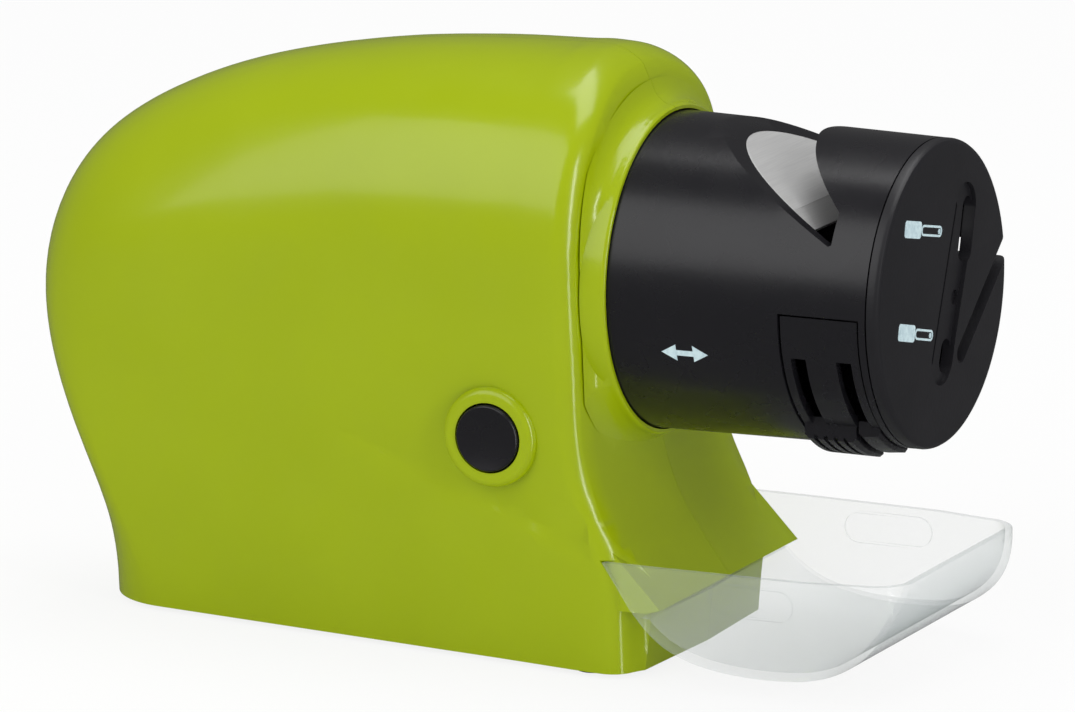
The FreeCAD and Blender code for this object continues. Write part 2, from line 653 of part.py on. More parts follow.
# Latch tongue on the flank
latchX = val("latchStart")
latchEnd = latchX + val("latchLength")
tongueBox = slab(latchX, latchEnd, -31.5, -6.4, -31.5, 0.1)
tongue = turned([(latchX, sleeveIn - 0.1), (latchX, skinRadius(latchX) - 0.3), (latchEnd, skinRadius(latchEnd) - 0.3),
                 (latchEnd, sleeveIn - 0.1)]).common(tongueBox)
for x in (latchX + 1.6, latchX + 10.7):
    tongue = tongue.cut(slab(x, x + 3.0, -31.5, -6.4, -40.0, -8.0).common(
        slab(x, x + 3.0, -31.5, -10.0, -26.0, -8.0)))
padR = skinRadius(latchX) + val("padProud")
pad = turned([(latchX, sleeveIn - 0.1), (latchX, padR - 0.6), (latchX + 0.8, padR), (latchX + 9.8, padR),
              (latchX + 10.5, padR - 0.6), (latchX + 10.5, sleeveIn - 0.1)])
pad = pad.common(slab(latchX, latchEnd, -18.5, -6.4, -40.0, -21.0))
for k in range(4):
    grooveAt = turned([(latchX + 1.9 + 2.0 * k, padR - 0.6), (latchX + 1.9 + 2.0 * k, padR + 1.0),
                       (latchX + 2.7 + 2.0 * k, padR + 1.0), (latchX + 2.7 + 2.0 * k, padR - 0.6)])
    pad = pad.cut(grooveAt)
ridge = turned([(latchEnd - 4.4, sleeveIn - 0.1), (latchEnd - 4.4, skinRadius(latchEnd) + 0.7),
                (latchEnd - 3.6, skinRadius(latchEnd) + 1.2), (latchEnd - 0.5, skinRadius(latchEnd) + 0.9),
                (latchEnd, skinRadius(latchEnd) + 0.2), (latchEnd, sleeveIn - 0.1)])
ridge = ridge.common(slab(latchX, latchEnd, -18.5, -6.4, -40.0, -21.0))
made("head_latch", tongue.fuse(pad).fuse(ridge))

# End cap with its channel, screwdriver slots, scissor slot and skirt
capR = skinRadius(capStart)
cap = turned([(capStart, 0.0), (capStart, capR), (headTip - 1.2, capR), (headTip - 0.75, capR - 0.1),
              (headTip - 0.35, capR - 0.35), (headTip - 0.1, capR - 0.75), (headTip, capR - 1.2), (headTip, 0.0)])
skirt = turned([(capStart - val("capSpigot"), sleeveIn - 2.0), (capStart - val("capSpigot"), sleeveIn - 0.1),
                (capStart, sleeveIn - 0.1), (capStart, sleeveIn - 2.0)])
skirt = skirt.cut(slab(0.0, capStart - val("capGap"), -32.0, -3.5, -32.0, 3.5))
cap = cap.fuse(skirt)


def stadium(ends, halfAcross, x0, x1):
    """A rounded bar in the cap's plane between two end centres (y, z)."""
    (y0, z0), (y1, z1) = ends
    run = math.hypot(y1 - y0, z1 - z0)
    ny, nz = -(z1 - z0) / run * halfAcross, (y1 - y0) / run * halfAcross
    corners = [(y0 + ny, z0 + nz), (y1 + ny, z1 + nz), (y1 - ny, z1 - nz), (y0 - ny, z0 - nz)]
    face = Part.Face(Part.makePolygon([at(x0, z, y) for y, z in corners + corners[:1]]))
    bar = face.extrude(Vector(x1 - x0, 0, 0))
    for y, z in ends:
        bar = bar.fuse(cylinder(halfAcross, x0, x1 - x0, y, z))
    return bar


channel = ((10.4, 14.6), (-0.6, -12.6))
channelHalf = val("channelWidth") / 2
channelFloor = headTip - val("channelDepth")
cap = cap.cut(stadium(channel, channelHalf, channelFloor, headTip + 1.0))
groove = tuple((y - channelHalf + 1.4, z + 0.6) for y, z in channel)
cap = cap.cut(stadium(groove, 1.2, channelFloor - 0.8, headTip + 1.0))
driverHalf = val("driverSlotWidth") / 2
for ends in (((13.0, 14.0), (10.8, 6.1)), ((3.0, -11.2), (2.1, -13.5))):
    cap = cap.cut(stadium(ends, driverHalf, capStart - 6.0, headTip))
cap = cap.cut(cylinder(1.4, channelFloor - 0.7, 3.0, 7.1, -2.1))
scissorFoot = (8.2, -12.9)
scissorRim = (38.2, 11.3)
scissorNear = (20.9, -2.7)
scissorHalf = val("scissorSlotWidth") / 2
cap = cap.cut(stadium((scissorFoot, scissorRim), scissorHalf, capStart - val("capSpigot") - 1.0, headTip + 1.0))
sleeveNotch = stadium((scissorNear, scissorRim), scissorHalf, headTip - 15.0, headTip + 1.0)
made("end_cap", cap)
made("head_sleeve", sleeve.cut(sleeveNotch))

# Push button, its spring, the switch
buttonTop = -val("buttonFace")
buttonBase = buttonTop + val("buttonDepth")
button = crossBar(val("buttonRadius"), buttonAt[0], buttonAt[1], buttonTop, buttonBase)
rim = [e for e in button.Edges if abs(e.BoundBox.YMax - buttonTop) < 1e-3 and e.BoundBox.YLength < 1e-3]
button = button.makeFillet(0.6, rim)
hollowR = 24.0
button = button.cut(Part.makeSphere(hollowR, at(buttonAt[0], buttonAt[1], buttonTop + 0.8 - hollowR)))
switchFront = -val("switchBack") - 4.0
plungerTip = switchFront - 3.2
button = button.fuse(crossBar(2.0, buttonAt[0], buttonAt[1], buttonBase, plungerTip))
made("power_button", button)
springTube = crossBar(4.6, buttonAt[0], buttonAt[1], buttonBase, switchFront)
made("button_spring", springTube.cut(crossBar(4.0, buttonAt[0], buttonAt[1], buttonBase, switchFront)))
plungerHalf = 1.4
plunger = slab(buttonAt[0] - plungerHalf, buttonAt[0] + plungerHalf, plungerTip, switchFront + 2.0,
               buttonAt[1] - plungerHalf, buttonAt[1] + plungerHalf)
made("switch_plunger", plunger)
switchBody = slab(switchX, switchX + val("switchLength"), switchFront, -val("switchBack") + 6.0,
                  switchZ, switchZ + val("switchHeight"))
well = plungerHalf + 0.3
switchBody = switchBody.cut(slab(buttonAt[0] - well, buttonAt[0] + well, switchFront - 1.0,
                                 switchFront + 2.5 + val("buttonTravel"), buttonAt[1] - well, buttonAt[1] + well))
made("switch_body", switchBody)

# Clear catch tray
hullLine = [hullFoot, (15.5, -66.4), (24.0, -68.4), (36.0, -68.8), (46.0, -67.0), (53.0, -62.0),
            (57.0, -55.2), (val("trayReach"), trayRim)]
hullCurve = curveThrough([Vector(x, 0, z) for x, z in hullLine])
hullSteps = 24


def hullPoints(inset):
    points = []
    for k in range(hullSteps + 1):
        share = hullCurve.FirstParameter + (hullCurve.LastParameter - hullCurve.FirstParameter) * k / hullSteps
        spot = hullCurve.value(share)
        way = hullCurve.tangent(share)[0]
        points.append((spot.x - way.z * inset, spot.z + way.x * inset))
    return points


def traySolid(inset, above):
    """The tray's outside, or the room inside its wall."""
    low = hullPoints(inset)
    edge = curveThrough([at(x, z) for x, z in low]).toShape()
    if inset == 0:
        rest = [low[-1], (armTip, trayRim), armFoot, low[0]]
    else:
        rest = [low[-1], (low[-1][0] + above * 0.3, trayRim + above), (armTip - 8.0, trayRim + above),
                (armTip - 8.0, low[0][1]), low[0]]
    lines = [Part.makeLine(at(*a), at(*b)) for a, b in zip(rest, rest[1:])]
    side = Part.Face(Part.Wire(Part.__sortEdges__([edge] + lines)))
    side.translate(Vector(0, -40.0, 0))
    body = side.extrude(Vector(0, 80.0, 0))
    rear = val("trayRearHalf") - inset
    front = val("trayFrontHalf") - inset
    nose = val("trayReach") - inset
    corner = val("trayCorner") - inset
    plan = [(-20.0, -rear), (12.0, -rear), (40.0, -(rear + front) / 2 - 0.5)]
    for k in range(9):
        turn = math.radians(90.0 * k / 8)
        plan.append((nose + 0.2 - corner * (1 - math.sin(turn)), -front + corner * (1 - math.cos(turn))))
    plan += [(x, -y) for x, y in reversed(plan)]
    rim = Part.Face(Part.makePolygon([at(x, -80.0, y) for x, y in plan + plan[:1]]))
    return body.common(rim.extrude(Vector(0, 0, 60.0)))


tray = traySolid(0.0, 0.0).cut(traySolid(val("trayWall"), 4.0))
gripFrom, gripTo, gripZ, gripR = 23.6, 35.4, -54.6, 2.9
for side in (-1, 1):
    near = side * (val("trayRearHalf") - 2.2)
    low, high = min(near, near + side * 1.9), max(near, near + side * 1.9)
    grip = slab(gripFrom, gripTo, low, high, gripZ - gripR, gripZ + gripR)
    for x in (gripFrom, gripTo):
        grip = grip.fuse(crossBar(gripR, x, gripZ, low, high))
    tray = tray.fuse(grip)
made("catch_tray", tray)

# Drive, built round the spindle
revolved("spindle", "rootX-spindleTail", [
    ("0", "0"), ("0", "spindleRadius"), ("spindleTail+wheelStart-collarWidth", "spindleRadius"),
    ("spindleTail+wheelStart-collarWidth", "collarRadius"), ("spindleTail+wheelStart", "collarRadius"),
    ("spindleTail+wheelStart", "spindleRadius"), ("spindleTail+spindleEnd-nutWidth", "spindleRadius"),
    ("spindleTail+spindleEnd-nutWidth", "studRadius"), ("spindleTail+spindleEnd", "studRadius"),
    ("spindleTail+spindleEnd", "0")])
revolved("knife_wheel", "rootX+wheelStart", [
    ("0", "spindleRadius"), ("0", "wheelRadius-1.5"), ("1.2", "wheelRadius"), ("wheelWidth-1.2", "wheelRadius"),
    ("wheelWidth", "wheelRadius-1.5"), ("wheelWidth", "spindleRadius")])
revolved("wheel_spacer", "rootX+wheelStart+wheelWidth", [
    ("0", "spindleRadius"), ("0", "collarRadius"), ("spacerWidth", "collarRadius"), ("spacerWidth", "spindleRadius")])
revolved("face_wheel", "rootX+wheelStart+wheelWidth+spacerWidth", [
    ("0", "spindleRadius"), ("0", "faceWheelRadius-0.4"), ("0.4", "faceWheelRadius"),
    ("faceWheelWidth", "faceWheelRadius"), ("faceWheelWidth", "spindleRadius")])
nutBlank = doc.addObject("Part::Prism", "nutBlank")
nutBlank.Placement = FreeCAD.Placement(Vector(), ALONG_X)
nutBlank.Polygon = 6
bind(nutBlank, "Circumradius", "nutRadius")
bind(nutBlank, "Height", "nutWidth")
place(nutBlank, "rootX+spindleEnd-nutWidth", "0", "axisZ")
nutBore = rod("nutBore", "studRadius", "nutWidth", "rootX+spindleEnd-nutWidth")
cut("wheel_nut", nutBlank, nutBore)
revolved("bearing_bracket", "rootX-bracketTail", [
    ("0", "bushRadius"), ("0", "hubRadius"), ("bracketTail-seatDepth", "hubRadius"),
    ("bracketTail-seatDepth", "headRadius+0.1"), ("bracketTail-seatDepth+bracketDisc", "headRadius+0.1"),
    ("bracketTail-seatDepth+bracketDisc", "headRadius-headWall-headGap"),
    ("bracketTail-3", "headRadius-headWall-headGap"), ("bracketTail-3", "headRadius-headWall-headGap-2.3"),
    ("bracketTail-seatDepth+bracketDisc", "headRadius-headWall-headGap-2.3"),
    ("bracketTail-seatDepth+bracketDisc", "hubRadius"), ("bracketTail+bracketNose", "hubRadius"),
    ("bracketTail+bracketNose", "bushRadius"), ("bracketTail+bracketNose-bushLength", "bushRadius"),
    ("bracketTail+bracketNose-bushLength", "hubBore"), ("bushLength", "hubBore"), ("bushLength", "bushRadius")])
for name, start in (("rear_bush", "rootX-bracketTail"), ("front_bush", "rootX+bracketNose-bushLength")):
    revolved(name, start, [("0", "spindleRadius+runningGap"), ("0", "bushRadius"), ("bushLength", "bushRadius"),
                           ("bushLength", "spindleRadius+runningGap")])
revolved("shaft_coupling", "rootX-spindleTail-couplingGrip", [
    ("0", "motorShaft"), ("0", "couplingRadius"), ("couplingGrip+7", "couplingRadius"),
    ("couplingGrip+7", "spindleRadius"), ("couplingGrip", "spindleRadius"), ("couplingGrip", "motorShaft")])
rod("motor_shaft", "motorShaft", "motorLength+motorFront-spindleTail+motorStub", "rootX-motorFront-motorLength-motorStub")
revolved("motor_can", "rootX-motorFront-motorLength", [
    ("0", "motorRadius-canWall"), ("0", "motorRadius"), ("motorLength", "motorRadius"),
    ("motorLength", "motorShaft+0.1"), ("motorLength-1.5", "motorShaft+0.1"),
    ("motorLength-1.5", "motorRadius-canWall")])
revolved("motor_end_bell", "rootX-motorFront-motorLength-bellLength", [
    ("0", "motorShaft+0.1"), ("0", "motorRadius-2"), ("1", "motorRadius"), ("bellLength", "motorRadius"),
    ("bellLength", "motorShaft+0.1")])
magnetRing = cylinder(val("motorRadius") - val("canWall"), motorBack + 4.0, 26.0).cut(
    cylinder(val("rotorRadius") + 0.4, motorBack + 4.0, 26.0))
made("motor_magnets", magnetRing.cut(slab(motorBack, 0.0, -5.0, 5.0, -20.0, 20.0)))
rotor = cylinder(val("rotorRadius"), motorBack + 5.0, 24.0).fuse(cylinder(4.0, motorBack + 0.8, 4.2))
for turn in (0.0, 120.0, 240.0):
    wire = slab(motorBack + 4.0, motorBack + 30.0, -0.9, 0.9, 5.0, 14.0)
    wire.rotate(at(0, 0), Vector(1, 0, 0), turn)
    rotor = rotor.cut(wire)
made("motor_rotor", rotor.cut(cylinder(val("motorShaft"), motorBack, 40.0)))

doc.recompute()
nodes = ["left_housing", "right_housing", "housing_screws", "base_feet", "battery_cover", "battery_tray",
         "batteries", "battery_contacts", "head_sleeve", "knife_guide_plate", "head_latch", "end_cap",
         "power_button", "button_spring", "switch_body", "switch_plunger", "catch_tray", "bearing_bracket",
         "rear_bush", "front_bush", "spindle", "knife_wheel", "wheel_spacer", "face_wheel", "wheel_nut",
         "shaft_coupling", "motor_shaft", "motor_can", "motor_end_bell", "motor_magnets", "motor_rotor"]
for o in doc.Objects:
    if "Invalid" in o.State or "Error" in o.State:
        raise RuntimeError("%s did not build" % o.Name)
for name in nodes:
    piece = doc.getObject(name)
    piece.Label = name
    if piece.Shape.isNull() or not piece.Shape.isValid():
        raise RuntimeError("%s is not sound" % name)
    piece.Shape.exportStep(os.path.join("parts", name + ".step"))
    print("%-18s solids %d volume %.0f" % (name, len(piece.Shape.Solids), piece.Shape.Volume))
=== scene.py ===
import math

import bmesh
import bpy
from mathutils import Matrix, Vector


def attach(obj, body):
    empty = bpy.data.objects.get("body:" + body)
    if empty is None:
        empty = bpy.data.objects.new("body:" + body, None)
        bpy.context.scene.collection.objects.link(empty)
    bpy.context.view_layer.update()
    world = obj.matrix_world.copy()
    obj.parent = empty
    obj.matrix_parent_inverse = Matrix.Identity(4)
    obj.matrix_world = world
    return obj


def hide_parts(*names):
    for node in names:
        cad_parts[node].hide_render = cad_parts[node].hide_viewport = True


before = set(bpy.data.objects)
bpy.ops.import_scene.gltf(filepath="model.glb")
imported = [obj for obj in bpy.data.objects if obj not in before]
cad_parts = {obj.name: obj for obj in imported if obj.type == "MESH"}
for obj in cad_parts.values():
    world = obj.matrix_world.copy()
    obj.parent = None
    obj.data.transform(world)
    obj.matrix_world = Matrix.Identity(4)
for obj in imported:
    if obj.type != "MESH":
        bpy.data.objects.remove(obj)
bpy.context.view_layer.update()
mm = 0.001
rootX = 35.7  # head's root plane in the row frame, mm
axisZ = 72.5  # spindle height, mm


def spot(x, y, z):
    # millimetres from the root plane and the spindle, to metres in the row frame
    return Vector(((rootX + x) * mm, y * mm, (axisZ + z) * mm))


# Shader maths: a value that adds and multiplies like a number
class Wire:
    def __init__(self, sheet, socket):
        self.sheet = sheet
        self.socket = socket

    def maths(self, kind, other):
        return self.sheet.node("ShaderNodeMath", {"operation": kind}, (self, other))[0]

    def __add__(self, other):
        return self.maths("ADD", other)

    def __mul__(self, other):
        return self.maths("MULTIPLY", other)

    def __gt__(self, other):
        return self.maths("GREATER_THAN", other)

    __radd__ = __add__
    __rmul__ = __mul__


class Finish:
    # one material: nodes are added by type, settings first, then the values or links of its sockets
    def __init__(self, name, **fixed):
        self.material = bpy.data.materials.new(name)
        self.material.use_nodes = True
        self.tree = self.material.node_tree
        self.shader = self.tree.nodes["Principled BSDF"]
        for socket, value in fixed.items():
            self.shader.inputs[socket.replace("_", " ")].default_value = value

    def node(self, kind, settings=None, values=()):
        made = self.tree.nodes.new(kind)
        for name, value in (settings or {}).items():
            if name == "stops":
                for i, (place, colour) in enumerate(value):
                    stop = made.color_ramp.elements[i] if i < 2 else made.color_ramp.elements.new(place)
                    stop.position = place
                    stop.color = (*colour, 1)
            else:
                setattr(made, name, value)
        pairs = values.items() if isinstance(values, dict) else enumerate(values)
        for key, value in pairs:
            if isinstance(value, Wire):
                self.tree.links.new(value.socket, made.inputs[key])
            else:
                made.inputs[key].default_value = value
        return [Wire(self, out) for out in made.outputs]

    def feed(self, socket, wire):
        self.tree.links.new(wire.socket, self.shader.inputs[socket])

    def place(self, scale=(1, 1, 1)):
        # object coordinates, stretched
        where = self.node("ShaderNodeTexCoord")[3]
        return self.node("ShaderNodeMapping", {}, {"Vector": where, "Scale": scale})[0]

    def noise(self, size, detail=3.0, stretch=(1, 1, 1), rough=0.5):
        # size is the feature's size in metres
        return self.node("ShaderNodeTexNoise", {}, {
            "Vector": self.place(stretch), "Scale": 1.0 / size, "Detail": detail, "Roughness": rough})[0]

    def ramp(self, wire, stops):
        return self.node("ShaderNodeValToRGB", {"stops": stops}, {"Fac": wire})[0]

    def blend(self, share, low, high):
        return self.node("ShaderNodeMix", {"data_type": "RGBA"}, {0: share, 6: (*low, 1), 7: (*high, 1)})[2]

    def bump(self, wire, depth):
        self.feed("Normal", self.node("ShaderNodeBump", {}, {"Height": wire, "Distance": depth})[0])


def moulded(name, low, high, gloss, spread, grain, depth, **fixed):
    # moulded plastic: slight colour drift, uneven polish, fine surface ripple
    made = Finish(name, **fixed)
    cloud = made.noise(0.03, 2.0)
    made.feed("Base Color", made.blend(cloud, low, high))
    made.feed("Roughness", made.noise(0.008, 4.0) * spread + gloss)
    made.bump(made.noise(grain, 2.0), depth)
    return made.material


plastics = {
    "limeLow": (0.33, 0.425, 0.0), "limeHigh": (0.37, 0.475, 0.0), "limeGloss": 0.20,
    "blackLow": (0.008, 0.008, 0.010), "blackHigh": (0.013, 0.012, 0.015), "blackGloss": 0.22,
}
lime = moulded("limeShell", plastics["limeLow"], plastics["limeHigh"], plastics["limeGloss"],
               0.08, 0.0035, 0.00002,
               Coat_Weight=0.25, Coat_Roughness=0.10, Specular_IOR_Level=0.5)
black = moulded("blackShell", plastics["blackLow"], plastics["blackHigh"], plastics["blackGloss"],
                0.10, 0.0012, 0.000012)
satinBlack = moulded("blackSatin", (0.010, 0.010, 0.012), (0.018, 0.017, 0.021),
                     0.34, 0.12, 0.0007, 0.00002)
innerBlack = moulded("blackInner", (0.015, 0.015, 0.017), (0.03, 0.03, 0.03), 0.5, 0.1, 0.001, 0.00003)
nylon = moulded("paleNylon", (0.62, 0.59, 0.50), (0.72, 0.69, 0.60), 0.45, 0.1, 0.001, 0.00002)
print("plastics mixed")

steelLook = {"dark": (0.74, 0.74, 0.74), "light": (0.93, 0.93, 0.92), "lineSize": 0.0006}
steel = Finish("guideSteel", Metallic=0.65)
grindLines = steel.noise(steelLook["lineSize"], 3.0, (4.0, 0.05, 1.0))
steel.feed("Base Color", steel.blend(grindLines, steelLook["dark"], steelLook["light"]))
steel.feed("Roughness", grindLines * 0.2 + 0.34)
steel.bump(grindLines, 0.00001)
steel = steel.material

abrasive = Finish("wheelAbrasive")
grit = abrasive.noise(0.0004, 5.0, rough=0.8)
abrasive.feed("Base Color", abrasive.ramp(grit, [(0.3, (0.05, 0.045, 0.045)), (0.55, (0.16, 0.14, 0.135)),
                                                 (0.75, (0.34, 0.31, 0.30))]))
abrasive.feed("Roughness", grit * 0.3 + 0.6)
abrasive.bump(grit, 0.00015)
abrasive = abrasive.material


def metal(name, low, high, rough, size, stretch=(1, 1, 1)):
    made = Finish(name, Metallic=1.0)
    cloud = made.noise(size, 3.0, stretch)
    made.feed("Base Color", made.blend(cloud, low, high))
    made.feed("Roughness", cloud * 0.15 + rough)
    made.bump(cloud, 0.00001)
    return made.material


turnedSteel = metal("turnedSteel", (0.45, 0.45, 0.46), (0.66, 0.66, 0.67), 0.2, 0.0008, (6, 1, 1))
canSteel = metal("canSteel", (0.36, 0.37, 0.38), (0.50, 0.51, 0.52), 0.3, 0.004)
zinc = metal("zincPlate", (0.42, 0.42, 0.44), (0.62, 0.62, 0.65), 0.28, 0.0015)
nickel = metal("nickelPlate", (0.58, 0.56, 0.50), (0.72, 0.69, 0.62), 0.22, 0.002)
brass = metal("turnedBrass", (0.56, 0.40, 0.16), (0.74, 0.56, 0.26), 0.25, 0.001, (5, 1, 1))
bronze = metal("sinteredBronze", (0.36, 0.22, 0.10), (0.54, 0.34, 0.16), 0.45, 0.0006)

rubber = moulded("footRubber", (0.016, 0.016, 0.016), (0.03, 0.03, 0.03), 0.7, 0.15, 0.0008, 0.00006)
ferrite = moulded("ferrite", (0.03, 0.03, 0.032), (0.06, 0.06, 0.06), 0.5, 0.2, 0.0009, 0.00005)

winding = Finish("rotorWinding", Metallic=0.6)
turns = winding.noise(0.0005, 2.0, (6.0, 1.0, 1.0))
winding.feed("Base Color", winding.ramp(turns, [(0.35, (0.09, 0.03, 0.01)), (0.6, (0.42, 0.17, 0.06))]))
winding.feed("Roughness", turns * 0.2 + 0.3)
winding.bump(turns, 0.0001)
winding = winding.material

cellLook = {"bandsPerMetre": 20.0, "wobble": 0.01, "bandFrom": 0.72}
cellWrap = Finish("cellWrap", Coat_Weight=0.4)
along = cellWrap.node("ShaderNodeSeparateXYZ", {}, [cellWrap.node("ShaderNodeTexCoord")[3]])[0]
turnAlong = along * cellLook["bandsPerMetre"] + cellWrap.noise(0.002, 2.0) * cellLook["wobble"]
band = turnAlong.maths("FRACT", 0.0) > cellLook["bandFrom"]
cellWrap.feed("Base Color", cellWrap.blend(band, (0.03, 0.03, 0.035), (0.45, 0.42, 0.36)))
cellWrap.feed("Metallic", band * 0.6)
cellWrap.feed("Roughness", cellWrap.noise(0.006, 3.0) * 0.1 + 0.22)
cellWrap = cellWrap.material

clearLook = {"face": 0.09, "rim": 0.62, "curve": 3.0,
             "tint": (0.90, 0.95, 0.95), "edgeTint": (0.46, 0.57, 0.58)}
clear = Finish("clearTray", IOR=1.5, Coat_Weight=0.6, Coat_Roughness=0.02)
smears = clear.noise(0.02, 3.0)
slant = clear.node("ShaderNodeLayerWeight", {}, {"Blend": 0.5})[1]
edge = slant.maths("POWER", clearLook["curve"])
clear.feed("Base Color", clear.blend(edge, clearLook["tint"], clearLook["edgeTint"]))
clear.feed("Alpha", edge * (clearLook["rim"] - clearLook["face"]) + clearLook["face"])
clear.feed("Roughness", smears * 0.04 + 0.03)
clear.bump(clear.noise(0.006, 2.0), 0.00002)
clear = clear.material

ink = Finish("paleInk")
wear = ink.noise(0.0009, 4.0)
ink.feed("Base Color", ink.ramp(wear, [(0.25, (0.45, 0.60, 0.66)), (0.6, (0.62, 0.78, 0.82))]))
ink.feed("Roughness", wear * 0.15 + 0.4)
ink = ink.material
print("metals, clear plastic and ink mixed")


# Pieces
def keep(bm, name, material, body, smoothAngle=math.radians(32)):
    # turns a bmesh into a piece that rides on a body
    for face in bm.faces:
        face.smooth = True
    for edge in bm.edges:
        if len(edge.link_faces) == 2:
            edge.smooth = edge.calc_face_angle(0.0) < smoothAngle
    mesh = bpy.data.meshes.new(name)
    bm.to_mesh(mesh)
    bm.free()
    mesh.materials.append(material)
    made = bpy.data.objects.new(name, mesh)
    bpy.context.scene.collection.objects.link(made)
    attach(made, body)
    return made


bodyOf = {"left_housing": "housing", "right_housing": "housing",
          "head_sleeve": "head", "end_cap": "head",
          "head_latch": "latch", "catch_tray": "tray", "power_button": "button", "knife_guide_plate": "head"}


def smoothed(node, name, material, angle=32):
    # the solid's own surface, joined up and shaded smooth
    bm = bmesh.new()
    bm.from_mesh(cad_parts[node].data)
    bmesh.ops.remove_doubles(bm, verts=bm.verts, dist=0.000002)
    made = keep(bm, name, material, bodyOf[node], math.radians(angle))
    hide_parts(node)


smoothed("left_housing", "leftShell", lime)
smoothed("right_housing", "rightShell", lime)
smoothed("head_sleeve", "sleeveSkin", black)
smoothed("end_cap", "capSkin", satinBlack, 25)
smoothed("head_latch", "latchSkin", black, 25)
smoothed("catch_tray", "traySkin", clear)
smoothed("power_button", "buttonSkin", black)
smoothed("knife_guide_plate", "guideSkin", steel, 15)

dressed = {
    "battery_cover": lime, "battery_tray": innerBlack,
    "base_feet": rubber, "housing_screws": zinc,
    "batteries": cellWrap, "battery_contacts": nickel, "button_spring": turnedSteel, "switch_body": innerBlack,
    "switch_plunger": nylon, "bearing_bracket": innerBlack, "rear_bush": bronze, "front_bush": bronze,
    "spindle": turnedSteel, "knife_wheel": abrasive, "wheel_spacer": turnedSteel, "face_wheel": abrasive,
    "wheel_nut": brass, "shaft_coupling": brass, "motor_shaft": turnedSteel, "motor_can": canSteel,
    "motor_end_bell": nylon, "motor_magnets": ferrite, "motor_rotor": winding}
for node, material in dressed.items():
    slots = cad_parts[node].material_slots
    for one in slots:
        one.material = material
print("solids dressed")

# Signs printed on the end cap: a driver pointing at each slot
sign = {"handle": (7.4, 3.2), "shaft": (8.6, 2.1), "line": 0.42, "dot": 0.5, "thick": 0.12, "sunk": 0.04,
        "places": (((-17.0, 15.7), (-0.6, 12.0)), ((-20.0, -3.1), (-4.8, -6.9)))}
headRoot = 30.0
headNarrows = 1.0
capFace = 54.8


def plate(bm, cx, cy, width, height, corner, hollow=0.0):
    # a rounded plate, or a rounded frame with hollow given
    made = bmesh.ops.create_grid(bm, x_segments=1, y_segments=1, size=0.5)["verts"]
    bmesh.ops.scale(bm, vec=(width, height, 1), verts=made)
    bmesh.ops.translate(bm, vec=(cx, cy, 0), verts=made)
    rounded = bmesh.ops.bevel(bm, geom=made, offset=corner, segments=5, profile=0.5,
                              affect="VERTICES", material=-1)
    faces = list({face for vert in rounded["verts"] for face in vert.link_faces})
    if hollow:
        inner = bmesh.ops.inset_individual(bm, faces=faces, thickness=hollow, use_even_offset=True)["faces"]
        bmesh.ops.delete(bm, geom=[face for face in faces if face not in inner], context="FACES_ONLY")


def capSign(name, ends):
    (y0, z0), (y1, z1) = ends
    length = math.hypot(y1 - y0, z1 - z0)
    bm = bmesh.new()
    wide, tall = sign["handle"]
    plate(bm, wide / 2, 0, wide, tall, 0.7)
    reach = length - wide - 0.1
    plate(bm, wide + 0.1 + reach / 2, 0, reach, sign["shaft"][1], 1.0, sign["line"])
    dots = bmesh.ops.create_circle(bm, cap_ends=True, segments=16, radius=sign["dot"])["verts"]
    bmesh.ops.translate(bm, vec=(length - 1.2, 0, 0), verts=dots)
    lifted = bmesh.ops.extrude_face_region(bm, geom=bm.faces[:])["geom"]
    raised = [item for item in lifted if isinstance(item, bmesh.types.BMVert)]
    bmesh.ops.translate(bm, vec=(0, 0, sign["thick"]), verts=raised)
    bmesh.ops.recalc_face_normals(bm, faces=bm.faces)
    across = Vector((0, y1 - y0, z1 - z0)).normalized()
    out = Vector((1, 0, 0))
    turn = Matrix((across, out.cross(across), out)).transposed().to_4x4()
    bmesh.ops.scale(bm, vec=(mm, mm, mm), verts=bm.verts)
    placed = Matrix.Translation(spot(capFace - sign["sunk"], y0, z0)) @ turn
    bmesh.ops.transform(bm, matrix=placed, verts=bm.verts)
    keep(bm, name, ink, "head")


capSign("upperSign", sign["places"][0])
capSign("lowerSign", sign["places"][1])

# Double arrow on the sleeve
arrow = {"start": 10.5, "end": 19.9, "head": 3.0, "tall": 3.4, "shaft": 1.1, "angle": 107.5,
         "thick": 0.1, "sunk": 0.03}


def sleeveArrow():
    bm = bmesh.new()
    middle = (arrow["start"] + arrow["end"]) / 2
    run = arrow["end"] - arrow["start"] - 2 * arrow["head"]
    shaft = bmesh.ops.create_grid(bm, x_segments=2, y_segments=2, size=0.5)["verts"]
    bmesh.ops.scale(bm, vec=(run, arrow["shaft"], 1), verts=shaft)
    for way in (-1, 1):
        tip = bmesh.ops.create_circle(bm, cap_ends=True, segments=3, radius=1.0)["verts"]
        bmesh.ops.rotate(bm, cent=(0, 0, 0), matrix=Matrix.Rotation(-way * math.pi / 2, 3, "Z"), verts=tip)
        bmesh.ops.scale(bm, vec=(arrow["head"] / 1.5, arrow["tall"] / math.sqrt(3), 1), verts=tip)
        bmesh.ops.translate(bm, vec=(way * (run / 2 + arrow["head"] / 3), 0, 0), verts=tip)
    lifted = bmesh.ops.extrude_face_region(bm, geom=bm.faces[:])["geom"]
    raised = [item for item in lifted if isinstance(item, bmesh.types.BMVert)]
    bmesh.ops.translate(bm, vec=(0, 0, arrow["thick"]), verts=raised)
    bmesh.ops.recalc_face_normals(bm, faces=bm.faces)
    for vert in bm.verts:  # wrapped round the sleeve, downwards on the near side
        along = middle + vert.co.x
        radius = headRoot - headNarrows * along / capFace + vert.co.z - arrow["sunk"]
        around = math.radians(arrow["angle"]) + vert.co.y / radius
        vert.co = spot(along, -math.sin(around) * radius, math.cos(around) * radius)
    keep(bm, "sleeveArrow", ink, "head")


sleeveArrow()
print("signs placed")

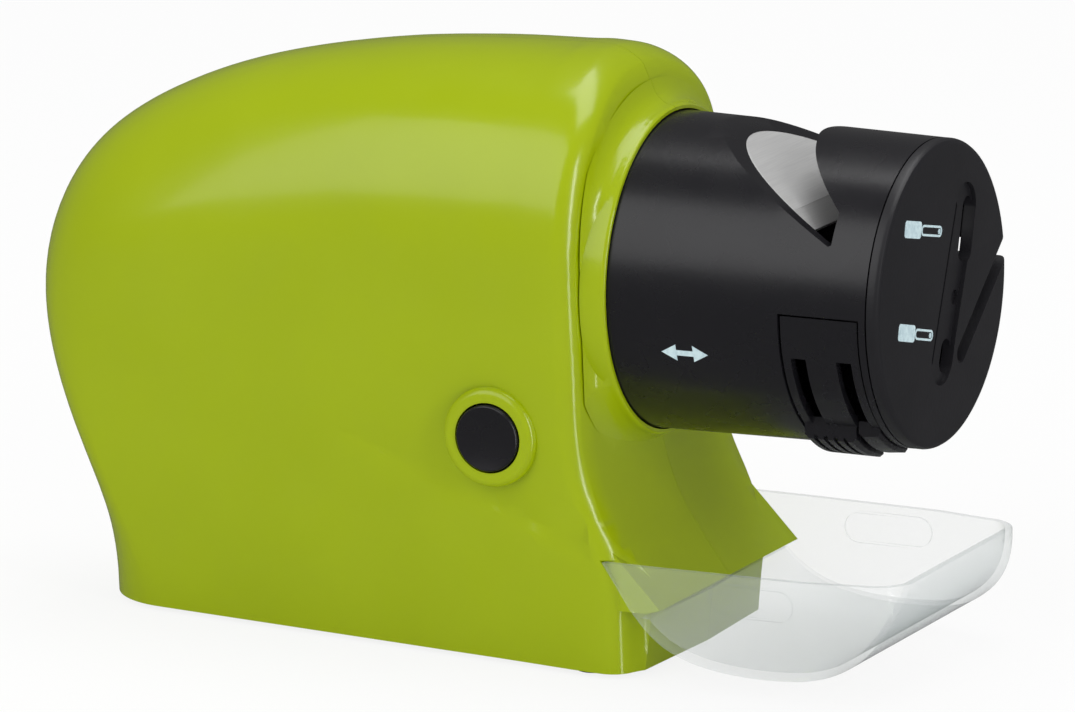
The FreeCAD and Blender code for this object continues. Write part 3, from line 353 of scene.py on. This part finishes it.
# Camera at the photograph's angle
view = {"azimuth": 26.71, "elevation": 13.0, "roll": -0.68, "pixels": 9633.11, "width": 1075,
        "from": (0.80657, -1.59074, 0.46402)}
turn, rise, roll = (math.radians(view[key]) for key in ("azimuth", "elevation", "roll"))
back = Vector((math.sin(turn) * math.cos(rise), -math.cos(turn) * math.cos(rise), math.sin(rise)))
right = Vector((math.cos(turn), math.sin(turn), 0))
up = back.cross(right)
lens = bpy.data.cameras.new("photoLens")
lens.sensor_width = 36
lens.lens = view["pixels"] * 36 / view["width"]
camera = bpy.data.objects.new("photoCamera", lens)
axes = (right * math.cos(roll) + up * math.sin(roll), up * math.cos(roll) - right * math.sin(roll), back)
camera.matrix_world = Matrix.Translation(view["from"]) @ Matrix(axes).transposed().to_4x4()
bpy.context.scene.collection.objects.link(camera)
bpy.context.scene.camera = camera
bpy.context.scene.view_settings.view_transform = "Standard"

# Studio: white surroundings, a pale floor that keeps the shadow, three soft lamps
studio = {"worldLight": 0.5, "mirrored": 0.12, "floorShare": 0.86, "floorSize": 6.0}
lamps = {
    "keyLamp": {"at": (-0.6, -1.3, 1.1), "size": (1.7, 1.4), "power": 11.0},
    "ridgeLamp": {"at": (1.27, -0.62, 0.12), "size": (0.2, 1.6), "power": 9.0},
    "topLamp": {"at": (0.15, 0.25, 1.5), "size": (1.3, 0.9), "power": 10.0},
}
for name, look in lamps.items():
    lamp = bpy.data.lights.new(name, "AREA")
    lamp.shape = "RECTANGLE"
    lamp.size, lamp.size_y = look["size"]
    lamp.energy = look["power"]
    holder = bpy.data.objects.new(name, lamp)
    toward = Vector((0, 0, 0.06)) - Vector(look["at"])
    aimed = toward.to_track_quat("-Z", "Y").to_matrix().to_4x4()
    holder.matrix_world = Matrix.Translation(look["at"]) @ aimed
    bpy.context.scene.collection.objects.link(holder)


def rayShare(tree, names):
    # 1 for the named kinds of ray
    rays = tree.nodes.new("ShaderNodeLightPath")
    share = rays.outputs[names[0]]
    for name in names[1:]:
        either = tree.nodes.new("ShaderNodeMath")
        either.operation = "MAXIMUM"
        tree.links.new(share, either.inputs[0])
        tree.links.new(rays.outputs[name], either.inputs[1])
        share = either.outputs[0]
    return share


def ranged(tree, share, low, high):
    level = tree.nodes.new("ShaderNodeMapRange")
    level.inputs["To Min"].default_value = low
    level.inputs["To Max"].default_value = high
    tree.links.new(share, level.inputs["Value"])
    return level


world = bpy.data.worlds.new("studioWorld")
bpy.context.scene.world = world
world.use_nodes = True
tree = world.node_tree
soft = ranged(tree, rayShare(tree, ["Is Glossy Ray"]), studio["worldLight"], studio["mirrored"])
level = ranged(tree, rayShare(tree, ["Is Camera Ray", "Is Transmission Ray"]), 0.0, 1.0)
tree.links.new(soft.outputs[0], level.inputs["To Min"])
tree.links.new(level.outputs[0], tree.nodes["Background"].inputs["Strength"])
tree.nodes["Background"].inputs["Color"].default_value = (1, 1, 1, 1)

floorMesh = bmesh.new()
bmesh.ops.create_grid(floorMesh, x_segments=1, y_segments=1, size=studio["floorSize"])
mesh = bpy.data.meshes.new("floor")
floorMesh.to_mesh(mesh)
floorMesh.free()
floor = bpy.data.objects.new("floor", mesh)
bpy.context.scene.collection.objects.link(floor)
floor.visible_glossy = False  # upright walls would mirror it and look milky
paper = bpy.data.materials.new("floorPaper")
paper.use_nodes = True
tree = paper.node_tree
paperShader = tree.nodes["Principled BSDF"]
paperShader.inputs["Base Color"].default_value = (0.9, 0.9, 0.9, 1)
paperShader.inputs["Roughness"].default_value = 0.9
glow = tree.nodes.new("ShaderNodeEmission")
share = ranged(tree, rayShare(tree, ["Is Camera Ray", "Is Transmission Ray"]), 0.0, studio["floorShare"])
mixer = tree.nodes.new("ShaderNodeMixShader")
tree.links.new(share.outputs[0], mixer.inputs[0])
tree.links.new(paperShader.outputs[0], mixer.inputs[1])
tree.links.new(glow.outputs[0], mixer.inputs[2])
tree.links.new(mixer.outputs[0], tree.nodes["Material Output"].inputs["Surface"])
mesh.materials.append(paper)
print("studio lit")
